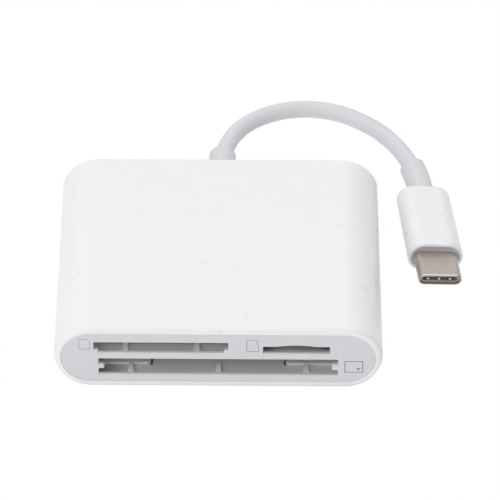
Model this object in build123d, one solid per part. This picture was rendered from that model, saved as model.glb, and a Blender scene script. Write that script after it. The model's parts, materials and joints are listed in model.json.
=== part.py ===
from build123d import *
import math
import os

# A USB-C reader for three kinds of memory card, in millimetres and degrees.
# X runs across the reader, Y from the slots at the front to the cable at the
# back, and Z up from the surface that it lies on.

# Card slots
cf_slot_width = 43.5
cf_slot_height = 3.6
cf_key_reach = 1.05
cf_left_key_height = 1.0
cf_right_key_height = 1.4
cf_key_radius = 0.35
sd_slot_width = 24.4
sd_slot_height = 2.3
sd_slot_x = -10.4
sd_step_width = 0.8
sd_step_height = 0.65
microsd_slot_width = 12.1
microsd_slot_height = 1.5
microsd_slot_x = 14.2
microsd_arch_width = 7.2
microsd_arch_rise = 0.33

# Housing
cf_side_margin = 8.15
body_depth = 50.0
wall = 1.4
end_wall = 1.2
rear_wall = 1.6
front_edge_radius = 0.85
rear_edge_radius = 0.35

# Front bezel
bezel_recess = 0.1
bezel_thickness = 1.2
bezel_clearance = 0.02
slot_edge_chamfer = 0.15
lip_depth = 0.65
throat_depth = 3.3
throat_wall = 0.8
throat_drop = 0.5
apron_depth = 2.0
apron_clearance = 0.4
rib_front_width = 1.1
rib_back_width = 0.8
cf_rib_count = 3
cf_rib_spacing = 16.0
sd_rib_count = 2
sd_rib_spacing = 13.0

# Snap tabs of the bezel
tab_width = 5.0
tab_thickness = 0.9
tab_length = 9.5
tab_clearance = 0.15
top_tab_spacing = 30.0
bottom_tab_spacing = 12.0
barb_length = 2.0
barb_bite = 0.35
barb_clearance = 0.1

# Circuit board and the rails that hold it
board_thickness = 0.8
board_depth = 36.5
board_drop = 0.3
board_front_clearance = 0.1
board_side_clearance = 0.35
rail_bite = 1.2
rail_thickness = 0.9
rail_clearance = 0.1

# Connector for the CF card
header_clearance = 0.7
header_ledge = 0.9
header_roof_clearance = 0.1
header_arm_length = 28.0
header_arm_wall = 1.9
header_arm_chamfer = 1.5
header_base_depth = 4.0
header_rail_clearance = 0.15
header_paddle_inset = 9.4
header_paddle_length = 7.0
header_paddle_radius = 0.6
header_ledge_width = 3.2
cf_pin_count = 25
cf_pin_pitch = 1.27
cf_pin_size = 0.45
cf_pin_length = 4.5
cf_tail_step = 1.0

# Sockets for the two small cards
socket_floor = 0.6
socket_sheet = 0.2
contact_thickness = 0.18
contact_lift = 0.35
contact_tail = 1.0
sd_socket_depth = 27.0
sd_socket_rail = 1.4
sd_card_travel = 24.5
sd_contact_count = 9
sd_contact_pitch = 2.5
sd_contact_width = 0.9
sd_contact_length = 8.0
microsd_socket_depth = 15.0
microsd_socket_rail = 1.2
microsd_card_travel = 13.0
microsd_contact_count = 8
microsd_contact_pitch = 1.1
microsd_contact_width = 0.6
microsd_contact_length = 5.0
window_margin = 0.5
cover_tongue_width = 2.0
cover_tongue_length = 6.0
cover_slit = 0.4

# Parts soldered to the board
controller_size = 7.0
controller_height = 0.9
chip_chamfer = 0.15
controller_setback = 6.25
crystal_width = 2.5
crystal_length = 3.2
crystal_height = 0.7
regulator_width = 1.6
regulator_length = 2.9
regulator_height = 1.1
capacitor_count = 5
capacitor_length = 1.6
capacitor_width = 0.8
resistor_count = 4
resistor_length = 1.0
resistor_width = 0.5
resistor_height = 0.35
part_spacing = 1.7
part_row_gap = 1.2

# Cable and the boot where it leaves the body
cable_diameter = 3.3
cable_sides = 16
cable_grip = 3.0
boot_diameter = 5.1
boot_length = 9.9
boot_turn = 4.4
boot_bevel = 0.3
boot_waist_diameter = 4.0
boot_flange_diameter = 7.0
boot_flange_thickness = 1.5
boot_clearance = 0.05
wire_count = 4
wire_sides = 8
wire_diameter = 0.8
wire_pitch = 1.1
wire_overlap = 2.0

# Plug: the place of its front face, and its parts
plug_x = 40.6
plug_y = 9.0
plug_yaw = 6.0
plug_roll = 5.7
sleeve_width = 10.5
sleeve_rear_width = 10.15
sleeve_height = 6.2
sleeve_length = 18.5
sleeve_wall = 0.9
sleeve_rim = 0.55
sleeve_recess = 0.2
sleeve_front_chamfer = 0.15
sleeve_rear_radius = 0.7
collar_thickness = 0.6
collar_clearance = 0.03
neck_diameter = 4.85
neck_length = 9.0
neck_turn = 9.3
neck_bevel = 0.5
neck_waist_diameter = 3.4
neck_flange_clearance = 0.2
neck_flange_thickness = 1.0
shell_width = 8.25
shell_height = 2.4
shell_wall = 0.35
shell_reach = 6.8
shell_seat = 3.6
shell_lip_chamfer = 0.2
plug_clearance = 0.04
liner_setback = 0.45
tongue_width = 6.7
tongue_height = 0.86
tongue_depth = 5.6
spring_count = 3
spring_pitch = 2.1
spring_width = 0.5
spring_length = 0.9
spring_rise = 0.4
spring_setback = 0.5
spring_clearance = 0.26
plug_contact_pitch = 0.5
plug_contact_places = (-5.5, -2.5, -1.5, -0.5, 0.5, 2.5, 5.5)
plug_contact_width = 0.25
plug_contact_thickness = 0.15
plug_contact_reach = 4.2
plug_contact_tail = 1.6
latch_thickness = 0.25
latch_height = 0.5
latch_reach = 4.5
latch_bridge = 0.8
plug_board_width = 7.2
plug_board_length = 9.5
plug_board_thickness = 0.8

# Cable route: from inside one boot to inside the other, through these points between
cable_lead_from_body = 6.4
cable_lead_from_plug = 5.2
cable_middle = [
    (5.3, 46.8, 6.6),
    (13.6, 51.9, 5.9),
    (22.4, 51.9, 5.2),
    (29.2, 48.3, 4.4),
    (33.0, 44.5, 3.8),
]
cable_arc_share = 0.45

# Heights, from the floor of the housing up to the sockets
header_bottom = wall + header_clearance
cf_floor = header_bottom + header_ledge
cf_roof = cf_floor + cf_slot_height
cf_middle = (cf_floor + cf_roof) / 2
board_bottom = cf_roof + header_roof_clearance
board_top = board_bottom + board_thickness
upper_floor = board_top + socket_floor
sd_roof = upper_floor + sd_slot_height
microsd_roof = upper_floor + microsd_slot_height
mid_z = board_bottom + board_drop

# The body is as tall as that stack and as wide as the widest card needs
body_height = 2 * mid_z
body_width = cf_slot_width + 2 * cf_side_margin
mouth_width = body_width - 2 * end_wall
mouth_height = body_height - 2 * wall

# Places from front to back
front_y = -body_depth / 2
rear_y = body_depth / 2
bezel_front = front_y + bezel_recess
bezel_back = bezel_front + bezel_thickness
lip_back = bezel_front + lip_depth
throat_back = bezel_front + throat_depth
barb_back = bezel_front + tab_length
barb_front = barb_back - barb_length
board_front = throat_back + board_front_clearance
board_rear = board_front + board_depth
board_half = mouth_width / 2 - board_side_clearance
header_base_front = board_front + header_arm_length
header_base_back = header_base_front + header_base_depth
header_half = cf_slot_width / 2 + header_arm_wall
paddle_end = cf_slot_width / 2 - header_paddle_inset
boot_flange_front = rear_y - rear_wall - boot_flange_thickness
controller_y = board_front + microsd_socket_depth + controller_setback
side_part_x = microsd_slot_x + controller_size / 2 + part_row_gap + crystal_width / 2

# The plug lies on the lower edge of its sleeve, which narrows alike on all sides towards the cable
plug_z = sleeve_height / 2 + (sleeve_width - sleeve_height) / 2 * math.sin(math.radians(plug_roll))
sleeve_rear_height = sleeve_height - (sleeve_width - sleeve_rear_width)

# The recess in the sleeve's front, and places along the plug from the sleeve's front rim
recess_width = sleeve_width - 2 * sleeve_rim
recess_height = sleeve_height - 2 * sleeve_rim
collar_back = sleeve_recess + collar_thickness
cavity_front = collar_back + sleeve_wall
liner_front = liner_setback - shell_reach
spring_front = liner_front + spring_setback
plug_board_back = shell_seat + plug_board_length
neck_flange_front = sleeve_length - sleeve_wall - neck_flange_thickness

# How far a cutting tool runs past the face that it cuts
overrun = 1.0


def block(x, y, z):
    """A box between two values on each axis."""
    middle = [(low + high) / 2 for low, high in (x, y, z)]
    size = [high - low for low, high in (x, y, z)]
    return Pos(*middle) * Box(*size)


def prism(profile, y_from, y_to):
    """A profile drawn in X and Z, extruded towards the back."""
    plane = Plane(origin=(0, y_from, 0), x_dir=(1, 0, 0), z_dir=(0, -1, 0))
    return extrude(plane * profile, amount=y_from - y_to)


def side_prism(profile, x_middle, width):
    """A profile drawn in Y and Z, extruded to both sides of x_middle."""
    plane = Plane(origin=(x_middle, 0, 0), x_dir=(0, 1, 0), z_dir=(1, 0, 0))
    return extrude(plane * profile, amount=width / 2, both=True)


def polygon(*corners):
    return make_face(Polyline(*corners, close=True))


def strip(points, thickness):
    """The side view of a bent metal strip whose lower edge passes through points."""
    upper = [(y, z + thickness) for y, z in reversed(points)]
    return polygon(*points, *upper)


def row(count, pitch):
    """Evenly spaced places about zero."""
    return [(index - (count - 1) / 2) * pitch for index in range(count)]


def group(pieces):
    return Compound([piece.solid() for piece in pieces])


def stadium(width, height):
    return Pos(0, mid_z) * SlotOverall(width, height)


def ease(body, end, radius):
    """Rounds the rim of a body's first or last face along Y, in two flats along an arc."""
    eighth = math.pi / 8
    steep, slant = math.tan(eighth), (1 - math.cos(2 * eighth)) / math.cos(eighth)
    for on_end, on_side in ((steep, 1), (1 - steep, slant)):
        face = body.faces().sort_by(Axis.Y)[end]
        body = chamfer(face.edges(), radius * on_end, radius * on_side, reference=face)
    return body


# Housing


def tab_places():
    """Each snap tab's place across the front, and 1 for the top or -1 for the bottom."""
    top = [(x, 1) for x in row(2, top_tab_spacing)]
    bottom = [(x, -1) for x in row(2, bottom_tab_spacing)]
    return top + bottom


def from_mid(side, *heights):
    """Heights above the middle, or mirrored below it, in rising order."""
    return sorted(mid_z + side * height for height in heights)


def housing():
    body = prism(stadium(body_width, body_height), front_y, rear_y)
    body = ease(body, 0, front_edge_radius)
    body = ease(body, -1, rear_edge_radius)
    body -= prism(stadium(mouth_width, mouth_height), front_y - overrun, rear_y - rear_wall)
    body -= prism(Pos(0, mid_z) * Circle(boot_waist_diameter / 2 + boot_clearance),
                  rear_y - rear_wall - overrun, rear_y + overrun)
    rail_heights = (board_bottom - rail_thickness, board_top + rail_clearance + rail_thickness)
    rail_depths = (bezel_back, rear_y - rear_wall / 2)
    for side in (-1, 1):
        rail_width = sorted((side * (board_half - rail_bite), side * (mouth_width + end_wall) / 2))
        body += block(rail_width, rail_depths, rail_heights)
    groove_half = board_half + board_side_clearance / 2
    body -= block((-groove_half, groove_half), (bezel_back - overrun, board_rear),
                  (board_bottom, board_top + rail_clearance))
    for x, side in tab_places():
        pocket_half = tab_width / 2 + barb_clearance
        pocket_top = mouth_height / 2 + barb_bite + barb_clearance
        body -= block((x - pocket_half, x + pocket_half),
                      (barb_front - barb_clearance, barb_back + barb_clearance),
                      from_mid(side, mouth_height / 2 - overrun, pocket_top))
    return body


# Front bezel


def cf_aperture():
    opening = Pos(0, cf_middle) * Rectangle(cf_slot_width, cf_slot_height)
    for side, key_height in ((-1, cf_left_key_height), (1, cf_right_key_height)):
        key = RectangleRounded(2 * cf_key_reach, key_height, cf_key_radius)
        opening -= Pos(side * cf_slot_width / 2, cf_middle) * key
    return opening


def sd_aperture():
    opening = Pos(sd_slot_x, (upper_floor + sd_roof) / 2) * Rectangle(sd_slot_width, sd_slot_height)
    for side in (-1, 1):
        step = Rectangle(2 * sd_step_width, 2 * sd_step_height)
        opening -= Pos(sd_slot_x + side * sd_slot_width / 2, upper_floor) * step
    return opening


def microsd_aperture():
    half = microsd_slot_width / 2
    left, right = (-microsd_arch_width / 2, microsd_roof), (microsd_arch_width / 2, microsd_roof)
    arch = ThreePointArc(right, (0, microsd_roof + microsd_arch_rise), left)
    rest = Polyline(left, (-half, microsd_roof), (-half, upper_floor), (half, upper_floor),
                    (half, microsd_roof), right)
    return Pos(microsd_slot_x, 0) * make_face([arch, rest])


def throat(x, width, floor, roof):
    """The wall of the tunnel behind a slot, and the space inside it."""
    height = roof - floor + throat_drop
    centre = Pos(x, roof - height / 2)
    outside = centre * Rectangle(width + 2 * throat_wall, height + 2 * throat_wall)
    inside = centre * Rectangle(width, height)
    return prism(outside, lip_back, throat_back), prism(inside, lip_back, throat_back + overrun)


def rib(x, floor):
    """A guide rib on a throat's floor, level with the lip and narrower towards its round back end."""
    front_half, back_half = rib_front_width / 2, rib_back_width / 2
    tip = throat_back - back_half
    sides = Polyline((-back_half, tip), (-front_half, lip_back), (front_half, lip_back), (back_half, tip))
    end = ThreePointArc((back_half, tip), (0, throat_back), (-back_half, tip))
    plane = Plane.XY.offset(floor - throat_drop)
    return Pos(x, 0, 0) * extrude(plane * make_face([sides, end]), amount=throat_drop)


def snap_tab(x, side):
    outer = mouth_height / 2 - tab_clearance
    arm = block((x - tab_width / 2, x + tab_width / 2), (lip_back, barb_back),
                from_mid(side, outer - tab_thickness, outer))
    peak = mid_z + side * (mouth_height / 2 + barb_bite)
    base = mid_z + side * outer
    barb = polygon((barb_front, base), (barb_front, peak), (barb_back, base))
    return arm + side_prism(barb, x, tab_width)


def front_bezel():
    bezel = prism(stadium(mouth_width - 2 * bezel_clearance, mouth_height - 2 * bezel_clearance),
                  bezel_front, bezel_back)
    throats = [
        throat(0, cf_slot_width, cf_floor, cf_roof),
        throat(sd_slot_x, sd_slot_width, upper_floor, sd_roof),
        throat(microsd_slot_x, microsd_slot_width, upper_floor, microsd_roof + microsd_arch_rise),
    ]
    for outside, _ in throats:
        bezel += outside
    apron_half, apron_top = paddle_end - apron_clearance, cf_floor - throat_drop
    bezel += block((-apron_half, apron_half), (lip_back, throat_back + apron_depth),
                   (apron_top - throat_wall, apron_top))
    for x, side in tab_places():
        bezel += snap_tab(x, side)
    for _, inside in throats:
        bezel -= inside
    for aperture in (cf_aperture(), sd_aperture(), microsd_aperture()):
        bezel -= prism(aperture, bezel_front - overrun, lip_back)
    for x in row(cf_rib_count, cf_rib_spacing):
        bezel += rib(x, cf_floor)
    for x in row(sd_rib_count, sd_rib_spacing):
        bezel += rib(sd_slot_x + x, upper_floor)
    slot_edges = bezel.faces().sort_by(Axis.Y)[0].inner_wires().edges()
    return chamfer(slot_edges, slot_edge_chamfer)


# Circuit board


def circuit_board():
    return block((-board_half, board_half), (board_front, board_rear), (board_bottom, board_top))


def on_board(x, y, length, width, height):
    """A part that stands on the board's upper face."""
    return Pos(x, y, board_top + height / 2) * Box(length, width, height)


def controller_chip():
    chip = on_board(microsd_slot_x, controller_y, controller_size, controller_size, controller_height)
    return chamfer(chip.faces().sort_by(Axis.Z)[-1].edges(), chip_chamfer)


def crystal():
    can = on_board(side_part_x, controller_y - part_spacing, crystal_width, crystal_length, crystal_height)
    return chamfer(can.edges().filter_by(Axis.Z), 2 * chip_chamfer)


def voltage_regulator():
    package = on_board(side_part_x, controller_y + crystal_length, regulator_width, regulator_length,
                       regulator_height)
    return chamfer(package.faces().sort_by(Axis.Z)[-1].edges(), chip_chamfer)


def chip_capacitors():
    behind = controller_y + controller_size / 2 + part_row_gap
    return group(on_board(microsd_slot_x + x, behind, capacitor_width, capacitor_length, capacitor_width)
                 for x in row(capacitor_count, part_spacing))


def chip_resistors():
    beside = microsd_slot_x - controller_size / 2 - part_row_gap
    return group(on_board(beside, controller_y + y, resistor_length, resistor_width, resistor_height)
                 for y in row(resistor_count, part_spacing))


# Connector for the CF card


def cf_pins():
    """Two rows of pins, each bent up to the underside of the board behind the connector."""
    pins = []
    for level, z in enumerate(row(2, cf_pin_pitch)):
        low, high = cf_middle + z - cf_pin_size / 2, cf_middle + z + cf_pin_size / 2
        tip = header_base_front - cf_pin_length
        heel = header_base_back + cf_tail_step * (2 - level)
        bend = heel - cf_pin_size
        side_view = polygon((tip, low), (heel, low), (heel, board_bottom), (bend, board_bottom),
                            (bend, high), (tip, high))
        pins += [side_prism(side_view, x, cf_pin_size) for x in row(cf_pin_count, cf_pin_pitch)]
    return group(pins)


def header_arm(side, key_height):
    """One guide arm: a side wall, the ledge that the card slides on and the rail in its side groove."""
    slot_half = cf_slot_width / 2
    wall_width = sorted((side * slot_half, side * header_half))
    arm = block(wall_width, (board_front, header_base_front), (header_bottom, board_bottom))
    neck = slot_half - header_ledge_width
    paddle_back = board_front + header_paddle_length
    ledge = polygon((side * paddle_end, board_front), (side * header_half, board_front),
                    (side * header_half, header_base_front), (side * neck, header_base_front),
                    (side * neck, paddle_back + header_paddle_length), (side * paddle_end, paddle_back))
    corners = [(side * paddle_end, y) for y in (board_front, paddle_back)]
    rounded = [ledge.vertices().sort_by_distance(corner)[0] for corner in corners]
    ledge = fillet(rounded, header_paddle_radius)
    arm += extrude(Plane.XY.offset(header_bottom) * ledge, amount=header_ledge)
    rail_half = key_height / 2 - header_rail_clearance
    rail_width = sorted((side * (slot_half - cf_key_reach + header_rail_clearance), side * header_half))
    arm += block(rail_width, (board_front + header_arm_wall, header_base_front),
                 (cf_middle - rail_half, cf_middle + rail_half))
    return arm


def cf_header():
    header = block((-header_half, header_half), (header_base_front, header_base_back),
                   (header_bottom, board_bottom))
    header += header_arm(-1, cf_left_key_height)
    header += header_arm(1, cf_right_key_height)
    lower_edges = header.faces().sort_by(Axis.Z)[0].edges().filter_by(Axis.Y).sort_by(Axis.X)
    header = chamfer([lower_edges[0], lower_edges[-1]], header_arm_chamfer)
    row_half = (cf_pin_count - 1) * cf_pin_pitch / 2 + cf_pin_size / 2
    for z in row(2, cf_pin_pitch):
        header -= block((-row_half, row_half), (header_base_front - overrun, header_base_back + overrun),
                        (cf_middle + z - cf_pin_size / 2, cf_middle + z + cf_pin_size / 2))
    return header


# Sockets for the two small cards


def socket_contacts(x, count, pitch, width, length, depth, travel):
    """Spring contacts anchored in the back of a socket, each with a soldered tail behind it."""
    back = board_front + depth
    stop = board_front + travel
    tip = stop - length
    crest = upper_floor + contact_lift
    anchor = board_top + socket_floor / 2
    side_view = strip([(tip, anchor), (tip + length / 4, crest - contact_thickness), (stop, anchor),
                       (back, anchor), (back + contact_tail, board_top)], contact_thickness)
    return group(side_prism(side_view, x + place, width) for place in row(count, pitch))


def socket_base(x, width, roof, rail, depth, travel, contacts, contact_length):
    """The moulded tray of a socket: floor, two side rails and a back wall."""
    half = width / 2 + rail
    back = board_front + depth
    stop = board_front + travel
    tray = block((x - half, x + half), (board_front, back), (board_top, roof))
    tray -= block((x - width / 2, x + width / 2), (board_front - overrun, stop),
                  (upper_floor, roof + overrun))
    window = (x - width / 2 + window_margin, x + width / 2 - window_margin)
    tray -= block(window, (stop - contact_length - window_margin, stop), (board_top - overrun, roof))
    return tray - contacts


def socket_cover(x, width, roof, rail, depth):
    """The folded metal cover of a socket, with two spring tongues cut free in its top."""
    inner = width / 2 + rail
    outer = inner + socket_sheet
    back = board_front + depth
    section = polygon((x - outer, board_top), (x - inner, board_top), (x - inner, roof), (x + inner, roof),
                      (x + inner, board_top), (x + outer, board_top), (x + outer, roof + socket_sheet),
                      (x - outer, roof + socket_sheet))
    cover = prism(section, board_front, back)
    through = 4 * socket_sheet
    for side in (-1, 1):
        cut = Box(cover_tongue_width + 2 * cover_slit, cover_tongue_length, through)
        cut -= Pos(0, cover_slit, 0) * Box(cover_tongue_width, cover_tongue_length, through)
        cover -= Pos(x + side * width / 4, board_front + depth / 2, roof) * cut
    return cover


# Boots and cable


def boot(start, length, turn, diameter, bevel):
    """A round boot that leaves along Y, bends by turn and has a bevelled end, and the plane of that end."""
    heading = (0, 1, 0)
    bend = JernArc(start, heading, length / math.radians(abs(turn)), turn)
    sleeve = sweep(Plane(origin=start, z_dir=heading) * Circle(diameter / 2), path=bend)
    end = Plane(origin=bend @ 1, x_dir=(0, 0, 1), z_dir=bend % 1)
    rim = Cone(diameter / 2, diameter / 2 - bevel, bevel, align=(Align.CENTER, Align.CENTER, Align.MIN))
    return sleeve + end * rim, end.offset(bevel)


def cable_strain_relief():
    relief, end = boot((0, rear_y, mid_z), boot_length, -boot_turn, boot_diameter, boot_bevel)
    relief += prism(Pos(0, mid_z) * Circle(boot_waist_diameter / 2), boot_flange_front, rear_y)
    relief += prism(Pos(0, mid_z) * Circle(boot_flange_diameter / 2), boot_flange_front, rear_y - rear_wall)
    return relief, end


def plug_strain_relief():
    """The plug's bent neck, in the plug's own frame."""
    relief, end = boot((0, sleeve_length, 0), neck_length, neck_turn, neck_diameter, neck_bevel)
    relief += prism(Circle(neck_waist_diameter / 2), neck_flange_front, sleeve_length)
    flange_height = sleeve_rear_height - 2 * (sleeve_wall + neck_flange_clearance)
    flange = Rectangle(sleeve_width - sleeve_height, flange_height)
    relief += prism(flange, neck_flange_front, sleeve_length - sleeve_wall)
    return relief, end


def cable(body_end, plug_end):
    """A many-sided tube along straight runs and tangent arcs, from inside one boot to inside the other."""
    start, finish = body_end.offset(-cable_grip), plug_end.offset(-cable_grip)
    points = [start.origin, start.offset(cable_lead_from_body).origin]
    points += [Vector(*point) for point in cable_middle]
    points += [finish.offset(cable_lead_from_plug).origin, finish.origin]
    radii = []
    for before, corner, after in zip(points, points[1:], points[2:]):
        turn = math.radians((corner - before).get_angle(after - corner))
        shorter = min((corner - before).length, (after - corner).length)
        radii.append(cable_arc_share * shorter / math.tan(turn / 2))
    print("cable radii", [round(radius, 1) for radius in radii])
    print("cable points", [tuple(round(value, 2) for value in point) for point in points])
    path = FilletPolyline(*points, radius=radii)
    section = start * RegularPolygon(cable_diameter / 2, cable_sides)
    tube = sweep(section, path=path)
    expected_volume = section.area * path.length
    print("cable length", round(path.length, 2), "volume ratio", round(tube.volume / expected_volume, 4))
    return tube


def wires(low_z, y_from, y_to):
    """Thin wires side by side, each with flats for its round."""
    section = Pos(0, low_z + wire_diameter / 2) * RegularPolygon(
        wire_diameter / 2, wire_sides, major_radius=False, rotation=180 / wire_sides)
    return group(Pos(x, 0, 0) * prism(section, y_from, y_to) for x in row(wire_count, wire_pitch))


# Plug, in its own frame: the sleeve's front rim at zero and the tip towards -Y


def shell_hole():
    outline = SlotOverall(shell_width + 2 * plug_clearance, shell_height + 2 * plug_clearance)
    return prism(outline, -overrun, cavity_front + overrun)


def plug_sleeve():
    draft = math.degrees(math.atan((sleeve_width - sleeve_rear_width) / 2 / sleeve_length))
    front = Plane(origin=(0, 0, 0), x_dir=(1, 0, 0), z_dir=(0, 1, 0))
    sleeve = extrude(front * SlotOverall(sleeve_width, sleeve_height), amount=sleeve_length, taper=draft)
    sleeve = chamfer(sleeve.faces().sort_by(Axis.Y)[0].edges(), sleeve_front_chamfer)
    sleeve = ease(sleeve, -1, sleeve_rear_radius)
    sleeve -= prism(SlotOverall(recess_width, recess_height), -overrun, collar_back)
    sleeve -= prism(SlotOverall(sleeve_rear_width - 2 * sleeve_wall, sleeve_rear_height - 2 * sleeve_wall),
                    cavity_front, sleeve_length - sleeve_wall)
    sleeve -= shell_hole()
    sleeve -= prism(Circle(neck_waist_diameter / 2 + plug_clearance),
                    sleeve_length - sleeve_wall - overrun, sleeve_length + overrun)
    return sleeve


def plug_collar():
    """The inner moulding that shows between the sleeve's rim and the metal shell."""
    outline = SlotOverall(recess_width - 2 * collar_clearance, recess_height - 2 * collar_clearance)
    return prism(outline, sleeve_recess, collar_back) - shell_hole()


def plug_shell():
    shell = prism(SlotOverall(shell_width, shell_height), -shell_reach, shell_seat)
    shell = chamfer(shell.faces().sort_by(Axis.Y)[0].edges(), shell_lip_chamfer)
    bore = SlotOverall(shell_width - 2 * shell_wall, shell_height - 2 * shell_wall)
    shell -= prism(bore, -shell_reach - overrun, shell_seat + overrun)
    return shell


def plug_contacts():
    """The contacts of a plug that carries power and one data pair, alike on both faces."""
    half = plug_board_thickness / 2
    places = [place * plug_contact_pitch for place in plug_contact_places]
    pieces = []
    for low in (half, -half - plug_contact_thickness):
        pieces += [block((x - plug_contact_width / 2, x + plug_contact_width / 2),
                         (-plug_contact_reach, shell_seat + plug_contact_tail),
                         (low, low + plug_contact_thickness))
                   for x in places]
    return group(pieces)


def plug_latch():
    """A stamped fork: two side springs and the bridge that joins them behind the tongue's space."""
    outer = tongue_width / 2
    back = shell_seat - latch_bridge
    fork = block((-outer, outer), (back - latch_bridge, back), (-latch_thickness / 2, latch_thickness / 2))
    for side in (-1, 1):
        arm = sorted((side * outer, side * (outer - latch_thickness)))
        fork += block(arm, (-latch_reach, back), (-latch_height / 2, latch_height / 2))
    return fork


def plug_ground_springs():
    """Spring bumps on the inside of the metal shell, three above and three below."""
    seat = shell_height / 2 - shell_wall
    back, slope = spring_front + spring_length, spring_length / 3
    pieces = []
    for side in (-1, 1):
        crest = side * (seat - spring_rise)
        bump = polygon((spring_front, side * seat), (spring_front + slope, crest), (back - slope, crest),
                       (back, side * seat))
        pieces += [side_prism(bump, x, spring_width) for x in row(spring_count, spring_pitch)]
    return group(pieces)


def plug_insulator(contacts, latch):
    play = 2 * (shell_wall + plug_clearance)
    liner = prism(SlotOverall(shell_width - play, shell_height - play), liner_front, shell_seat)
    liner -= prism(SlotOverall(tongue_width, tongue_height), liner_front - overrun,
                   liner_front + tongue_depth)
    window_half = spring_width / 2 + spring_clearance
    for x in row(spring_count, spring_pitch):
        liner -= block((x - window_half, x + window_half),
                       (spring_front - spring_clearance, spring_front + spring_length + spring_clearance),
                       (-shell_height, shell_height))
    return liner - contacts - latch


def plug_board():
    return block((-plug_board_width / 2, plug_board_width / 2), (shell_seat, plug_board_back),
                 (-plug_board_thickness / 2, plug_board_thickness / 2))


# Assembly

plug_place = Pos(plug_x, plug_y, plug_z) * Rot(0, 0, plug_yaw) * Rot(0, plug_roll, 0)
body_boot, body_boot_end = cable_strain_relief()
plug_neck, plug_neck_end = plug_strain_relief()
cord = cable(body_boot_end, Plane(plug_place * plug_neck_end.location))
sd_springs = socket_contacts(sd_slot_x, sd_contact_count, sd_contact_pitch, sd_contact_width,
                             sd_contact_length, sd_socket_depth, sd_card_travel)
microsd_springs = socket_contacts(microsd_slot_x, microsd_contact_count, microsd_contact_pitch,
                                  microsd_contact_width, microsd_contact_length, microsd_socket_depth,
                                  microsd_card_travel)
plug_strips = plug_contacts()
plug_fork = plug_latch()

nodes = {
    "housing": housing(),
    "front_bezel": front_bezel(),
    "circuit_board": circuit_board(),
    "controller_chip": controller_chip(),
    "crystal": crystal(),
    "voltage_regulator": voltage_regulator(),
    "chip_capacitors": chip_capacitors(),
    "chip_resistors": chip_resistors(),
    "cf_pins": cf_pins(),
    "cf_header": cf_header(),
    "sd_contacts": sd_springs,
    "sd_socket_base": socket_base(sd_slot_x, sd_slot_width, sd_roof, sd_socket_rail, sd_socket_depth,
                                  sd_card_travel, sd_springs, sd_contact_length),
    "sd_socket_cover": socket_cover(sd_slot_x, sd_slot_width, sd_roof, sd_socket_rail, sd_socket_depth),
    "microsd_contacts": microsd_springs,
    "microsd_socket_base": socket_base(microsd_slot_x, microsd_slot_width, microsd_roof,
                                       microsd_socket_rail, microsd_socket_depth, microsd_card_travel,
                                       microsd_springs, microsd_contact_length),
    "microsd_socket_cover": socket_cover(microsd_slot_x, microsd_slot_width, microsd_roof,
                                         microsd_socket_rail, microsd_socket_depth),
    "cable_strain_relief": body_boot - cord,
    "cable_wires": wires(board_top, board_rear - wire_overlap, boot_flange_front),
    "cable": cord,
    "plug_strain_relief": plug_place * plug_neck - cord,
    "plug_sleeve": plug_place * plug_sleeve(),
    "plug_collar": plug_place * plug_collar(),
    "plug_shell": plug_place * plug_shell(),
    "plug_contacts": plug_place * plug_strips,
    "plug_latch": plug_place * plug_fork,
    "plug_insulator": plug_place * plug_insulator(plug_strips, plug_fork),
    "plug_ground_springs": plug_place * plug_ground_springs(),
    "plug_board": plug_place * plug_board(),
    "plug_wires": plug_place * wires(plug_board_thickness / 2, plug_board_back - wire_overlap,
                                     neck_flange_front),
}

os.makedirs("parts", exist_ok=True)
for name, shape in nodes.items():
    export_step(shape, f"parts/{name}.step")
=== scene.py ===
"""A white USB card reader on a white studio floor, seen as in the photograph. Lengths are in metres."""
import json
import math

import bpy
from mathutils import Matrix, Vector

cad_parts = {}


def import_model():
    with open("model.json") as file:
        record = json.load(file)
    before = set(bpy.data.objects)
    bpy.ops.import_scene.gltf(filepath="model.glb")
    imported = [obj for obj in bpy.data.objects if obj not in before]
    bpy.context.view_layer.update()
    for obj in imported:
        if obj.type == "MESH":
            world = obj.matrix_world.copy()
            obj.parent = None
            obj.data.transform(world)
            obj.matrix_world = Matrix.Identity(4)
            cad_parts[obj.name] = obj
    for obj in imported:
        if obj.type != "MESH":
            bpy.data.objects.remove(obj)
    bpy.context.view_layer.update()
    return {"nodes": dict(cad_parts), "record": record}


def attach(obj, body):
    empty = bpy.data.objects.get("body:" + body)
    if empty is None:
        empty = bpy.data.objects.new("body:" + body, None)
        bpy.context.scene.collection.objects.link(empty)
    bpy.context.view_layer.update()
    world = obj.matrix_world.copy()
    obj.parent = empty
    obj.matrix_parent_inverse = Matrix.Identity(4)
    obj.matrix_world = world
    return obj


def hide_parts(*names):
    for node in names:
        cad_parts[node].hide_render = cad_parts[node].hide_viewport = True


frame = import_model()
nodes = frame["nodes"]
MM = 0.001


# Camera, fitted to the outline of the body in the photograph

PHOTO_WIDTH, FOCAL_LENGTH = 500, 4290.2  # pixels
SENSOR_WIDTH = 36  # millimetres
ELEVATION, AZIMUTH, ROLL = math.radians(38.988), math.radians(0.1445), math.radians(0.4535)
DISTANCE, SHIFT_RIGHT, SHIFT_UP = 798.27 * MM, -5.701 * MM, -3.934 * MM
AIM = Vector((0, 0, 7 * MM))


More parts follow.
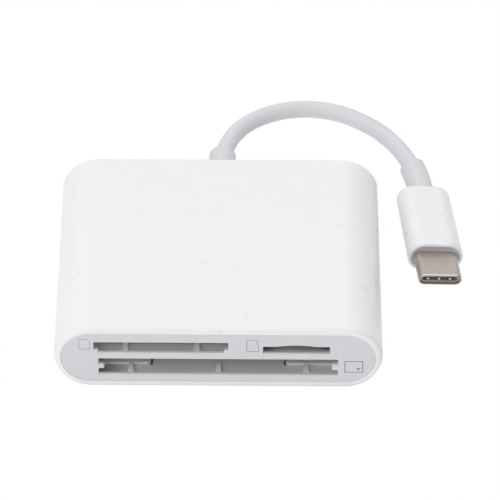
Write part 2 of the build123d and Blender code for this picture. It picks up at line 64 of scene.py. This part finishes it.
def photo_camera():
    forward = Vector((math.sin(AZIMUTH) * math.cos(ELEVATION), math.cos(AZIMUTH) * math.cos(ELEVATION),
                      -math.sin(ELEVATION)))
    level = Vector((math.cos(AZIMUTH), -math.sin(AZIMUTH), 0))
    rise = level.cross(forward)
    right = math.cos(ROLL) * level + math.sin(ROLL) * rise
    up = math.cos(ROLL) * rise - math.sin(ROLL) * level
    camera = bpy.data.objects.new("camera", bpy.data.cameras.new("camera"))
    camera.data.sensor_width = SENSOR_WIDTH
    camera.data.lens = FOCAL_LENGTH / PHOTO_WIDTH * SENSOR_WIDTH
    camera.data.clip_start, camera.data.clip_end = 0.01, 50
    camera.matrix_world = Matrix((right, up, -forward)).transposed().to_4x4()
    camera.location = AIM - forward * DISTANCE - right * SHIFT_RIGHT - up * SHIFT_UP
    bpy.context.collection.objects.link(camera)
    bpy.context.scene.camera = camera


photo_camera()


# Shader helpers

def math_node(tree, operation, *values):
    """The result of a Math node, from numbers or sockets."""
    made = tree.nodes.new("ShaderNodeMath")
    made.operation = operation
    for value, socket in zip(values, made.inputs):
        if isinstance(value, (int, float)):
            socket.default_value = value
        else:
            tree.links.new(value, socket)
    return made.outputs["Value"]


def white_to_camera(tree, lit, white, output):
    """Shows the camera one shader, and every other ray another."""
    path = tree.nodes.new("ShaderNodeLightPath")
    mix = tree.nodes.new("ShaderNodeMixShader")
    tree.links.new(path.outputs["Is Camera Ray"], mix.inputs["Fac"])
    tree.links.new(lit, mix.inputs[1])
    tree.links.new(white, mix.inputs[2])
    tree.links.new(mix.outputs["Shader"], tree.nodes[output].inputs["Surface"])


class Shader:
    """A node material with a Principled surface and the few nodes that the finishes share."""

    def __init__(self, name):
        self.material = bpy.data.materials.new(name)
        self.material.use_nodes = True
        self.tree = self.material.node_tree
        self.surface = self.tree.nodes["Principled BSDF"]
        self.place = self.node("ShaderNodeTexCoord").outputs["Object"]

    def node(self, kind, **settings):
        made = self.tree.nodes.new(kind)
        for key, value in settings.items():
            setattr(made, key, value)
        return made

    def link(self, source, target):
        self.tree.links.new(source, target)

    def set(self, **values):
        for key, value in values.items():
            self.surface.inputs[key.replace("_", " ")].default_value = value

    def noise(self, size, detail, stretch=(1, 1, 1)):
        """Noise with features of about this size."""
        mapping = self.node("ShaderNodeMapping")
        mapping.inputs["Scale"].default_value = [1 / (size * s) for s in stretch]
        self.link(self.place, mapping.inputs["Vector"])
        made = self.node("ShaderNodeTexNoise")
        made.inputs["Scale"].default_value = 1
        made.inputs["Detail"].default_value = detail
        self.link(mapping.outputs["Vector"], made.inputs["Vector"])
        return made.outputs["Fac"]

    def along(self, direction):
        """How far a place is along a direction."""
        made = self.node("ShaderNodeVectorMath", operation="DOT_PRODUCT")
        made.inputs[1].default_value = direction
        self.link(self.place, made.inputs[0])
        return made.outputs["Value"]

    def place_on(self, axis):
        """A place's X, Y or Z."""
        made = self.node("ShaderNodeSeparateXYZ")
        self.link(self.place, made.inputs["Vector"])
        return made.outputs[axis]

    def math(self, operation, *values):
        return math_node(self.tree, operation, *values)

    def away(self, value, middle):
        """How far a value is from a middle, on either side."""
        return self.math("ABSOLUTE", self.math("SUBTRACT", value, middle))

    def between(self, factor, low, high, start=0.3, end=0.7):
        """A number from low to high, as a factor goes from start to end."""
        made = self.node("ShaderNodeMapRange")
        for name, value in (("From Min", start), ("From Max", end), ("To Min", low), ("To Max", high)):
            made.inputs[name].default_value = value
        self.link(factor, made.inputs["Value"])
        return made.outputs["Result"]

    def tint(self, factor, first, second, start=0.3, end=0.7):
        """A colour from first to second, as a factor goes from start to end."""
        ramp = self.node("ShaderNodeValToRGB")
        for element, position, colour in zip(ramp.color_ramp.elements, (start, end), (first, second)):
            element.position = position
            element.color = (*colour, 1)
        self.link(factor, ramp.inputs["Fac"])
        return ramp.outputs["Color"]

    def mix(self, factor, first, second):
        """A colour from first to second, each a colour or a socket."""
        made = self.node("ShaderNodeMix", data_type="RGBA")
        self.link(factor, made.inputs["Factor"])
        for value, socket in ((first, made.inputs["A"]), (second, made.inputs["B"])):
            if isinstance(value, tuple):
                socket.default_value = (*value, 1)
            else:
                self.link(value, socket)
        return made.outputs["Result"]

    def paint(self, colour):
        self.link(colour, self.surface.inputs["Base Color"])

    def gloss(self, factor, roughness, spread):
        """A roughness that drifts by this share to either side."""
        drift = self.between(factor, roughness * (1 - spread), roughness * (1 + spread))
        self.link(drift, self.surface.inputs["Roughness"])

    def relief(self, height, depth):
        """Bumps this deep."""
        bump = self.node("ShaderNodeBump")
        bump.inputs["Strength"].default_value = 1
        bump.inputs["Distance"].default_value = depth
        self.link(height, bump.inputs["Height"])
        self.link(bump.outputs["Normal"], self.surface.inputs["Normal"])


# Kinds of finish

DRIFT_SIZE, TARNISH_SIZE, LINE_SIZE = 4 * MM, 1.5 * MM, 0.05 * MM
PLASTIC_IOR, GLOSS_DRIFT, FAINT = 1.49, 0.1, 0.015


def grey(value, warmth=0.0):
    return (value * (1 + warmth), value, value * (1 - warmth))


def shades(colour, spread):
    """A darker and a lighter shade of a colour."""
    return [c * (1 - spread) for c in colour], [min(1, c * (1 + spread)) for c in colour]


def moulded(name, colour, roughness, grain, depth, spread=FAINT):
    """Moulded plastic: a grain, a slow drift of gloss, and a trace of colour drift."""
    shader = Shader(name)
    slow = shader.noise(DRIFT_SIZE, 3)
    shader.paint(shader.tint(slow, *shades(colour, spread)))
    shader.gloss(slow, roughness, GLOSS_DRIFT)
    shader.relief(shader.noise(grain, 2), depth)
    shader.set(IOR=PLASTIC_IOR)
    return shader.material


def metal(name, colour, roughness, stretch):
    """Rolled metal with fine lines along one direction."""
    shader = Shader(name)
    lines = shader.noise(LINE_SIZE, 3, stretch)
    shader.paint(shader.tint(shader.noise(TARNISH_SIZE, 3), *shades(colour, 0.04)))
    shader.gloss(lines, roughness, 0.2)
    shader.relief(lines, 0.0006 * MM)
    shader.set(Metallic=1.0)
    return shader.material


# Where the bezel's painted shade, shadow and light change, each from one place to another
LIP_Y = -24.75 * MM, -24.6 * MM
THROAT_Y = -24.25 * MM, -24.2 * MM
CF_SLOT_Z = 4 * MM, 5 * MM
CF_LEFT_END_X = -19.6 * MM, -15.6 * MM
UPPER_SLOTS_Z = 6 * MM, 7 * MM
MICROSD_BACK_Y = -23.25 * MM, -23.05 * MM
MICROSD_X = 14.2 * MM
MICROSD_MIDDLE, MICROSD_SIDES = (3 * MM, 6 * MM), (6.5 * MM, 7 * MM)
RIB_TOPS_Z = 3.0 * MM, 8.1 * MM
RIB_REACH = 0.04 * MM, 0.08 * MM


def slotted_plate(name, colour, roughness):
    """The bezel's satin plastic, with painted shade and light in the slots: painted shade on the lips, a lighter, more
    neutral painted shade in the throats, painted shadows at the CF slot's left end and behind the microSD slot, and
    painted light on the ribs' tops.
    """
    lip_painted_shade, throat_painted_light, rib_painted_light = (0.66, 0.65, 0.62), (0.77, 0.772, 0.785), (0.92, 0.915, 0.91)
    cf_end_painted_shadow, shadow = (0.42, 0.415, 0.405), (0.2, 0.2, 0.205)
    shader = Shader(name)
    x, y, z = (shader.place_on(axis) for axis in "XYZ")
    slow = shader.noise(DRIFT_SIZE, 3)
    plate = shader.tint(slow, *shades(colour, FAINT))
    # Painted light: the throats get a lighter, more neutral shade of the same plastic.
    deep = shader.between(y, 0, 1, *THROAT_Y)
    # Painted shade on the lips' tops, a little warmer than the plate.
    shade = shader.mix(deep, shader.mix(shader.between(y, 0, 1, *LIP_Y), plate, lip_painted_shade), throat_painted_light)

    # Painted shadow at the CF slot's left end, where the end wall shades the floor.
    cf_end = shader.math("MULTIPLY", shader.between(z, 1, 0, *CF_SLOT_Z), shader.between(x, 1, 0, *CF_LEFT_END_X))
    shade = shader.mix(shader.math("MULTIPLY", deep, cf_end), shade, cf_end_painted_shadow)

    sideways = shader.away(x, MICROSD_X)
    microsd = shader.math("MULTIPLY", shader.between(sideways, 0.45, 1, *MICROSD_MIDDLE),
                          shader.between(sideways, 1, 0, *MICROSD_SIDES))
    behind = shader.math("MULTIPLY", shader.between(y, 0, 1, *MICROSD_BACK_Y), shader.between(z, 0, 1, *UPPER_SLOTS_Z))
    shade = shader.mix(shader.math("MULTIPLY", behind, microsd), shade, shadow)

    # Painted light on the ribs' tops.
    tops = [shader.between(shader.away(z, top), 1, 0, *RIB_REACH) for top in RIB_TOPS_Z]
    shader.paint(shader.mix(shader.math("MULTIPLY", deep, shader.math("MAXIMUM", *tops)), shade, rib_painted_light))
    shader.gloss(slow, roughness, GLOSS_DRIFT)
    shader.relief(shader.noise(0.12 * MM, 2), 0.0015 * MM)
    shader.set(IOR=PLASTIC_IOR)
    return shader.material


# The plug's direction, its tip along that, and where the metal's painted light, highlight and shade change behind the
# tip
PLUG_AXIS, PLUG_TIP = (0.104528, -0.994522, 0), 2.0934 * MM
COLLAR_PAINTED_LIGHT_SPAN, EDGE_PAINTED_HIGHLIGHT_SPAN, CUT_END_PAINTED_SHADE_SPAN = (4.2 * MM, 6.5 * MM), (0.16 * MM, 0.24 * MM), (0.07 * MM, 0.12 * MM)


def plated_mouth(name, colour, roughness, stretch):
    """The plug's plated metal: painted light by the collar, a painted highlight along the mouth's edge, and painted
    shade on the cut end.
    """
    collar_painted_light, edge_painted_highlight, cut = (0.74, 0.66, 0.6), (0.82, 0.79, 0.76), (0.4, 0.375, 0.36)
    shader = Shader(name)
    lines = shader.noise(LINE_SIZE, 3, stretch)
    to_tip = shader.math("SUBTRACT", PLUG_TIP, shader.along(PLUG_AXIS))
    shade = shader.tint(shader.noise(TARNISH_SIZE, 3), *shades(colour, 0.03))
    # Painted light near the collar, lifting the metal where it reflects the dark recess.
    shade = shader.mix(shader.between(to_tip, 0, 1, *COLLAR_PAINTED_LIGHT_SPAN), shade, collar_painted_light)
    # Painted highlight along the mouth's edge.
    shade = shader.mix(shader.between(to_tip, 1, 0, *EDGE_PAINTED_HIGHLIGHT_SPAN), shade, edge_painted_highlight)
    # Painted shade on the cut end.
    shader.paint(shader.mix(shader.between(to_tip, 1, 0, *CUT_END_PAINTED_SHADE_SPAN), shade, cut))
    shader.gloss(lines, roughness, 0.15)
    shader.relief(lines, 0.0004 * MM)
    shader.set(Metallic=1.0)
    return shader.material


# Finishes: for the moulded ones a colour, roughness, the grain's size and depth, and at times the colour's spread

MOULDED = {
    "white_gloss": ((0.874, 0.871, 0.886), 0.3, 0.5 * MM, 0.0004 * MM, 0.006),
    "boot_white": ((0.705, 0.707, 0.735), 0.5, 0.15 * MM, 0.002 * MM),
    "cable_white": ((0.705, 0.709, 0.742), 0.5, 0.2 * MM, 0.003 * MM),
    "header_ivory": (grey(0.74, 0.02), 0.45, 0.12 * MM, 0.0015 * MM),
    "socket_black": (grey(0.02), 0.5, 0.12 * MM, 0.0015 * MM),
    "liner_brown": ((0.42, 0.385, 0.325), 0.45, 0.1 * MM, 0.001 * MM, 0.06),
    # collar_grey is partly the collar's own grey and partly painted shade of the recess round the metal.
    "collar_grey": (grey(0.5, -0.004), 0.4, 0.1 * MM, 0.001 * MM),
    "ink_grey": (grey(0.26), 0.6, 0.05 * MM, 0.0005 * MM, 0.05),
    "chip_black": (grey(0.015), 0.55, 0.08 * MM, 0.002 * MM),
    "board_green": ((0.012, 0.07, 0.03), 0.3, 0.3 * MM, 0.001 * MM, 0.12),
    "capacitor_tan": ((0.33, 0.2, 0.1), 0.45, 0.1 * MM, 0.001 * MM, 0.08),
    "wire_red": ((0.42, 0.02, 0.02), 0.45, 0.2 * MM, 0.001 * MM, 0.05),
}
finishes = {name: moulded(name, *values) for name, values in MOULDED.items()}
finishes["bezel_white"] = slotted_plate("bezel_white", (0.686, 0.687, 0.715), 0.42)
finishes["nickel"] = plated_mouth("nickel", (0.505, 0.45, 0.41), 0.38, (1, 14, 1))
finishes["tin_steel"] = metal("tin_steel", (0.62, 0.61, 0.6), 0.3, (14, 1, 1))
finishes["gold_contact"] = metal("gold_contact", (0.85, 0.6, 0.28), 0.25, (1, 10, 1))

slots = {part["node"]: part["material_slot"] for part in frame["record"]["subparts"]}
for name, node in nodes.items():
    node.data.materials.clear()
    node.data.materials.append(finishes[slots[name]])


# Edges that the solids round in flats shade as rounds, up to an angle at which an edge stays sharp

SHARP_ANGLES = {"housing": 50, "front_bezel": 50, "plug_sleeve": 50, "plug_shell": 50,
                "plug_strain_relief": 30, "cable_strain_relief": 30}


def soften(node, sharp_angle):
    weld = node.modifiers.new("weld", "WELD")
    weld.merge_threshold = 0.001 * MM
    split = node.modifiers.new("split", "EDGE_SPLIT")
    split.split_angle = math.radians(sharp_angle)
    normals = node.modifiers.new("normals", "WEIGHTED_NORMAL")
    normals.weight = 60


for name, angle in SHARP_ANGLES.items():
    soften(nodes[name], angle)


# Card outlines printed on the plate, as X and Z in millimetres

PLATE_Y, INK_THICKNESS = -24.9 * MM, 0.01 * MM
SD_OUTLINE = [(-25.25, 8.92), (-23.3, 8.92), (-23.28, 10.13), (-23.32, 10.46), (-23.46, 10.79), (-23.67, 11.07),
              (-23.94, 11.25), (-25.25, 11.25)]
MICROSD_OUTLINE = [(5.17, 8.63), (7.29, 8.63), (7.21, 10.02), (7.08, 10.5), (6.97, 11.25), (5.17, 11.25)]
CF_OUTLINE = [(23.05, 3.8), (26.27, 3.8), (26.27, 6.35), (23.05, 6.35)]
CF_ARROW = [(25.51, 4.19), (25.93, 4.79), (25.06, 4.79)]


def inset(corners, distance):
    """The corners of a polygon, moved inwards along its sides."""
    moved = []
    for before, here, after in zip(corners[-1:] + corners, corners, corners[1:] + corners[:1]):
        first, second = (here - before).normalized(), (after - here).normalized()
        normal = (first + second).orthogonal().normalized()
        moved.append(here + normal * distance / normal.dot(first.orthogonal()))
    return moved


def print_outline(name, places, line=None):
    """Ink on the plate: a line this wide round a polygon, or the whole polygon."""
    corners = [Vector(place) for place in places]
    loops = [inset(corners, -line / 2), inset(corners, line / 2)] if line else [corners]
    verts, count = [], len(corners)
    for y in (PLATE_Y, PLATE_Y - INK_THICKNESS):
        verts += [(corner.x * MM, y, corner.y * MM) for loop in loops for corner in loop]
    layer = count * len(loops)
    ring = [(i, (i + 1) % count) for i in range(count)]
    faces = [(a, b, b + layer, a + layer) for a, b in ring]
    if line:
        faces += [(b + count, a + count, a + count + layer, b + count + layer) for a, b in ring]
        faces += [(a + layer, b + layer, b + count + layer, a + count + layer) for a, b in ring]
        faces += [(b, a, a + count, b + count) for a, b in ring]
    else:
        faces += [tuple(range(layer, 2 * layer)), tuple(reversed(range(layer)))]
    mesh = bpy.data.meshes.new(name)
    mesh.from_pydata(verts, [], faces)
    mesh.materials.append(finishes["ink_grey"])
    piece = bpy.data.objects.new(name, mesh)
    bpy.context.collection.objects.link(piece)
    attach(piece, "root")


print_outline("print_sd", SD_OUTLINE, 0.085)
print_outline("print_microsd", MICROSD_OUTLINE, 0.115)
print_outline("print_cf", CF_OUTLINE, 0.17)
print_outline("print_cf_arrow", CF_ARROW)


# Cable, along control points in millimetres

ROUTE = [(0.17, 32.2, 7.0), (0.66, 38.58, 7.0), (5.3, 46.8, 6.6), (13.6, 51.9, 5.9), (22.4, 51.9, 5.2),
         (29.2, 48.3, 4.4), (33.0, 44.5, 3.8), (36.3, 38.84, 3.43), (37.67, 33.82, 3.35)]
CABLE_RADIUS = 1.65 * MM


def cable():
    curve = bpy.data.curves.new("cable_cord", "CURVE")
    curve.dimensions = "3D"
    curve.resolution_u = 24
    curve.bevel_depth = CABLE_RADIUS
    curve.bevel_resolution = 8
    curve.use_fill_caps = True
    spline = curve.splines.new("NURBS")
    spline.points.add(len(ROUTE) - 1)
    for point, place in zip(spline.points, ROUTE):
        point.co = (*(c * MM for c in place), 1)
    spline.order_u = 3
    spline.use_endpoint_u = True
    spline.use_smooth = True
    cord = bpy.data.objects.new("cable_cord", curve)
    bpy.context.collection.objects.link(cord)
    curve.materials.append(finishes["cable_white"])
    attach(cord, "root")
    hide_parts("cable")


cable()


# Floor, world and lights, fitted to the shades in the photograph

WHITE = (1, 1, 1, 1)
FLOOR_HALF, FLOOR_COLOUR, FLOOR_GLOW = 1.5, (0.8, 0.8, 0.8, 1), 0.176
DOME_LOBES = [((0, 0, 1), 2, 0.551), ((0, 1, 0), 1, 0.965)]  # towards, sharpness, strength
SOFTBOXES = {  # place, width and height, watts
    "key_high": ((-0.75, -0.75, 0.65), (0.9, 0.6), 2.65),
    "key_low": ((-0.8, -0.8, 0.2), (0.8, 0.3), 1.5),
    "front": ((0, -0.95, 0.45), (1.2, 0.6), 2.5),
    "top": ((0, 0, 1.0), (1.0, 1.0), 4.46),
}


def floor():
    """White to the camera, and a pale glowing floor to the rest."""
    mesh = bpy.data.meshes.new("floor")
    corners = [(-1, -1), (1, -1), (1, 1), (-1, 1)]
    mesh.from_pydata([(x * FLOOR_HALF, y * FLOOR_HALF, 0) for x, y in corners], [], [(0, 1, 2, 3)])
    plane = bpy.data.objects.new("floor", mesh)
    bpy.context.collection.objects.link(plane)
    shader = Shader("floor_white")
    shader.set(Base_Color=FLOOR_COLOUR, Roughness=0.8, Emission_Color=WHITE, Emission_Strength=FLOOR_GLOW)
    white = shader.node("ShaderNodeEmission")
    white_to_camera(shader.tree, shader.surface.outputs["BSDF"], white.outputs["Emission"], "Material Output")
    mesh.materials.append(shader.material)


def world():
    """White to the camera, and to the rest a soft dome of light from above and from behind."""
    made = bpy.data.worlds.new("studio")
    made.use_nodes = True
    bpy.context.scene.world = made
    tree = made.node_tree
    direction = tree.nodes.new("ShaderNodeTexCoord").outputs["Generated"]
    total = 0.0
    for towards, sharpness, strength in DOME_LOBES:
        facing = tree.nodes.new("ShaderNodeVectorMath")
        facing.operation = "DOT_PRODUCT"
        facing.inputs[1].default_value = towards
        tree.links.new(direction, facing.inputs[0])
        lobe = math_node(tree, "POWER", math_node(tree, "MAXIMUM", facing.outputs["Value"], 0), sharpness)
        total = math_node(tree, "ADD", total, math_node(tree, "MULTIPLY", lobe, strength))
    dome, white = tree.nodes["Background"], tree.nodes.new("ShaderNodeBackground")
    for background in (dome, white):
        background.inputs["Color"].default_value = WHITE
    tree.links.new(total, dome.inputs["Strength"])
    white_to_camera(tree, dome.outputs["Background"], white.outputs["Background"], "World Output")


def softbox(name, place, size, power):
    """A rectangular light that points at the origin."""
    light = bpy.data.lights.new(name, "AREA")
    light.shape = "RECTANGLE"
    light.size, light.size_y = size
    light.energy = power
    made = bpy.data.objects.new(name, light)
    made.location = place
    made.rotation_euler = (-Vector(place)).to_track_quat("-Z", "Y").to_euler()
    bpy.context.collection.objects.link(made)


floor()
world()
for name, values in SOFTBOXES.items():
    softbox(name, *values)

bpy.context.scene.view_settings.view_transform = "Standard"
